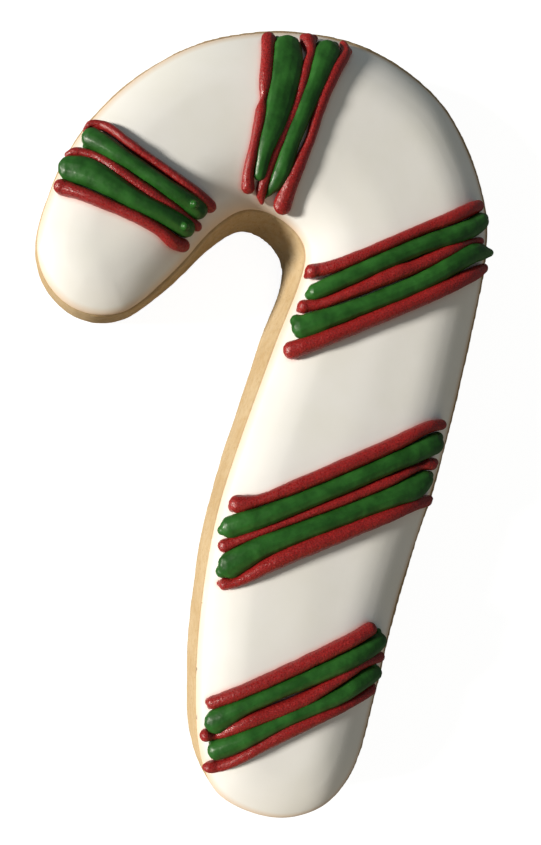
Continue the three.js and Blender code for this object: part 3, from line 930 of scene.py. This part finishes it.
DABS = {
    "band_1_green_1": [(-25.9, 37.6, 1.3), (-26.0, 36.0, 1.2)],
    "band_1_red_3": [(-29.6, 30.9, 1.0)],
    "band_2_green_1": [(-0.5, 52.4, 1.4), (1.8, 52.3, 1.6)],
    "band_2_red_2": [(3.3, 53.3, 1.2), (4.8, 53.3, 1.2)],
    "band_2_green_2": [(5.5, 52.3, 1.2), (7.5, 52.2, 1.5), (-2.1, 31.0, 0.5)],
    "band_2_red_3": [(9.6, 51.7, 1.1)],
    "band_3_red_1": [(3.7, 20.4, 0.8)],
    "band_3_green_1": [(4.1, 17.8, 1.5), (30.1, 29.7, 1.7)],
    "band_3_red_2": [(2.6, 15.7, 0.8)],
    "band_3_green_2": [(2.2, 14.1, 2.0), (2.5, 12.5, 1.6)],
    "band_4_red_1": [(-6.6, -11.2, 1.6)],
    "band_4_green_1": [(-8.1, -14.3, 1.6), (22.8, -1.9, 1.6)],
    "band_4_red_2": [(-8.2, -16.4, 1.2), (21.0, -5.6, 1.6), (22.4, -5.5, 1.4)],
    "band_4_green_2": [(-8.2, -19.8, 1.9), (21.6, -7.3, 1.3), (20.0, -9.3, 1.4)],
    "band_4_red_3": [(-8.5, -21.5, 0.9), (21.9, -10.7, 1.1)],
    "band_5_red_1": [(-10.0, -37.3, 1.1), (-9.8, -38.0, 0.8)],
    "band_5_green_1": [(-10.0, -40.3, 1.3), (13.9, -29.0, 1.0), (14.5, -30.7, 1.0)],
    "band_5_green_2": [(-9.5, -42.9, 1.1), (-9.4, -44.2, 1.3), (13.1, -33.6, 1.1), (14.1, -35.1, 1.0)],
    "band_5_red_3": [(13.2, -36.8, 1.1), (-10.5, -46.1, 0.5)],
}

PEAKS = {"band_1_green_1": [(-12.3, 28.6, 1.1)], "band_1_green_2": [(-13.5, 25.7, 1.1)]}
for label, table in (("places", ROUTES), ("dabs", DABS), ("peaks", PEAKS)):
    print(label, "of the nozzle:", sum(map(len, table.values())))

# %% [markdown]
# Each line spread a little as it settled, and the runny green ones spread to the right, over
# the red lines beside them. A smooth curve through every place of a route gives the track of the
# nozzle. It is of the centripetal kind, which makes no loops where places lie close together.

# %% Tracks of the nozzle
BALL_STEP = 0.25
RED_SPREAD = 0.2
GREEN_SPREAD = 0.35


def spread_route(node):
    """A route with its widths grown, a green one all towards the side that faces right."""
    route = np.array(ROUTES[node])
    along = route[-1, :2] - route[0, :2]
    spread = RED_SPREAD if node in RED_LINES else GREEN_SPREAD
    route[:, 2] += spread
    if node in GREEN_LINES:
        side = np.array([-along[1], along[0]]) / np.linalg.norm(along)
        route[:, :2] += side * np.sign(side[0]) * spread / 2
    return route


def piped_curve(route):
    """A smooth curve through a route, as places that lie close together."""
    rows = np.vstack([2 * route[0] - route[1], route, 2 * route[-1] - route[-2]])
    places = []
    for before, first, second, beyond in zip(rows, rows[1:], rows[2:], rows[3:]):
        steps = (first - before, second - first, beyond - second)
        a, b, c = (np.linalg.norm(step) ** 0.5 for step in steps)
        leave = ((first - before) / a - (second - before) / (a + b) + (second - first) / b) * b
        arrive = ((second - first) / b - (beyond - first) / (b + c) + (beyond - second) / c) * b
        for share in np.arange(0, 1, BALL_STEP / np.linalg.norm(second - first)):
            bend = 3 * (second - first) - 2 * leave - arrive
            twist = 2 * (first - second) + leave + arrive
            places.append(first + share * (leave + share * (bend + share * twist)))
    return np.array(places + [route[-1]])


tracks = {node: piped_curve(spread_route(node)) for node in RED_LINES + GREEN_LINES}
print("balls in all:", sum(len(track) for track in tracks.values()))

# %% [markdown]
# The routes are measured from where the biscuit was drawn, and the shared frame has its middle
# at the origin, so all of them move by one small step. Each ball sits on the icing under it. A
# narrow one stands up about as tall as it is wide, and a wide one slumps. The lines at the crown
# slumped most.

# %% Lines
FRAME_SHIFT = (0.159, 0)
RISE_NARROW = 1.1
RISE_BASE = 0.7
RISE_SLOPE = 0.6
RISE_MIN = 0.8
RISE_MAX = 2.2
LINE_WAIST = 0.42
LINE_MIN_SEAT = 1.0
LINE_VOXEL = 0.13
LINE_SMOOTHING = 6
BALL_FINENESS = 2
CROWN_HEIGHT = 0.75
PEAK_HEIGHT = 1.75
RED_LUMPS = {
    "red_knots": {"size": 2.2, "height": 0.14},
    "red_grain": {"size": 0.3, "height": 0.055},
}
GREEN_LUMPS = {
    "green_swells": {"size": 2.6, "height": 0.14},
    "green_grain": {"size": 0.5, "height": 0.03},
}


def rise_of(width):
    return max(min(width * RISE_NARROW, RISE_BASE + width * RISE_SLOPE, RISE_MAX), RISE_MIN)


def add_ball(shape, place, seat, height):
    x, y, width = place
    rise = rise_of(width) * height
    middle = Vector((x, y, seat + rise * LINE_WAIST)) * MM
    half = Vector((width / 2, width / 2, rise * (1 - LINE_WAIST))) * MM
    matrix = Matrix.Translation(middle) @ Matrix.Diagonal(half).to_4x4()
    bmesh.ops.create_icosphere(shape, subdivisions=BALL_FINENESS, radius=1, matrix=matrix)


def ball_mesh(node):
    """All balls of a line in one mesh: those on its track, its dabs and its peaks."""
    dabs, peaks = DABS.get(node, []), PEAKS.get(node, [])
    places = np.vstack([tracks[node], *[[place] for place in dabs + peaks]])
    places[:, :2] += FRAME_SHIFT
    seats = ICING_BASE + icing_height(places).clip(LINE_MIN_SEAT)
    seats[len(places) - len(peaks):] += PEAK_HEIGHT
    height = CROWN_HEIGHT if node.startswith("band_2") else 1
    shape = bmesh.new()
    for place, seat in zip(places, seats):
        add_ball(shape, place, seat, height)
    mesh = bpy.data.meshes.new(node)
    shape.to_mesh(mesh)
    shape.free()
    return mesh


def make_line(node):
    red = node in RED_LINES
    piece = new_piece(node + "_piped", ball_mesh(node), RED if red else GREEN)
    add_skin(piece, LINE_VOXEL, LINE_SMOOTHING)
    for name, lumps in (RED_LUMPS if red else GREEN_LUMPS).items():
        add_lumps(piece, name, **lumps)
    apply_modifiers(piece)
    take_place(piece, node)
    return piece


lines = {node: make_line(node) for node in RED_LINES + GREEN_LINES}
print("line faces:", sum(len(piece.data.polygons) for piece in lines.values()))

# %% [markdown]
# ## The tints of the icing
#
# Red colouring creeps into damp white icing beside the red lines, and where the icing is thin
# at its rim the dough shines through. Both tints are also partly painted light: the pink stands
# in for red bounce light from the lines, and the tan for warm bounce light from the dough wall.
# Inside the crook the icing runs out thinly over a wall that leans, so the tan rim is wider
# there. Each point of the icing stores how much of both tints it has, and its finish mixes
# them in.

# %% Stain, rim and painted bounce light
# Reaches of the pink and tan tints, both partly painted bounce light.
STAIN_AND_BOUNCE_REACH = 0.7
THIN_AND_BOUNCE_RIM = 0.9
THIN_AND_BOUNCE_RIM_LEAN = 1.8
PLAIN_SET_BACK = 0.5
FACING_FADE = 0.5


def store_mask(mesh, name, amounts):
    mask = mesh.attributes.new(name, "FLOAT", "POINT")
    mask.data.foreach_set("value", amounts.astype(np.float32))


# The pink beside the red lines is dye stain and painted red bounce light.
def red_stain_and_bounce(mesh):
    reds = np.concatenate([points_of(lines[node].data) for node in RED_LINES])
    near = KDTree(len(reds))
    for index, place in enumerate(reds):
        near.insert(place, index)
    near.balance()
    gaps = np.array([near.find(place)[2] for place in points_of(mesh)])
    return (1 - gaps / STAIN_AND_BOUNCE_REACH).clip(0, 1) ** 2


def thin_rim_and_warm_bounce(mesh):
    """A tan rim for thin icing and painted warm bounce light, further in where the wall leans and doesn't
    face left.
    """
    inwards, stretch, _ = from_border(points_of(mesh), ICING_BORDER)
    leaning = (from_border(ICING_BORDER, BISCUIT_BORDER)[0] - PLAIN_SET_BACK).clip(0, 1)
    not_left = (1 + BORDER_OUT[:, 0] / FACING_FADE).clip(0, 1)
    reach = THIN_AND_BOUNCE_RIM + THIN_AND_BOUNCE_RIM_LEAN * leaning * not_left
    return (1 - inwards / reach[stretch]).clip(0, 1)


tints = {"red_stain_and_bounce": red_stain_and_bounce(icing.data), "thin_rim_and_warm_bounce": thin_rim_and_warm_bounce(icing.data)}
for name, amounts in tints.items():
    store_mask(icing.data, name, amounts)
    print("share of points with", name, round(float((amounts > 0).mean()), 3))
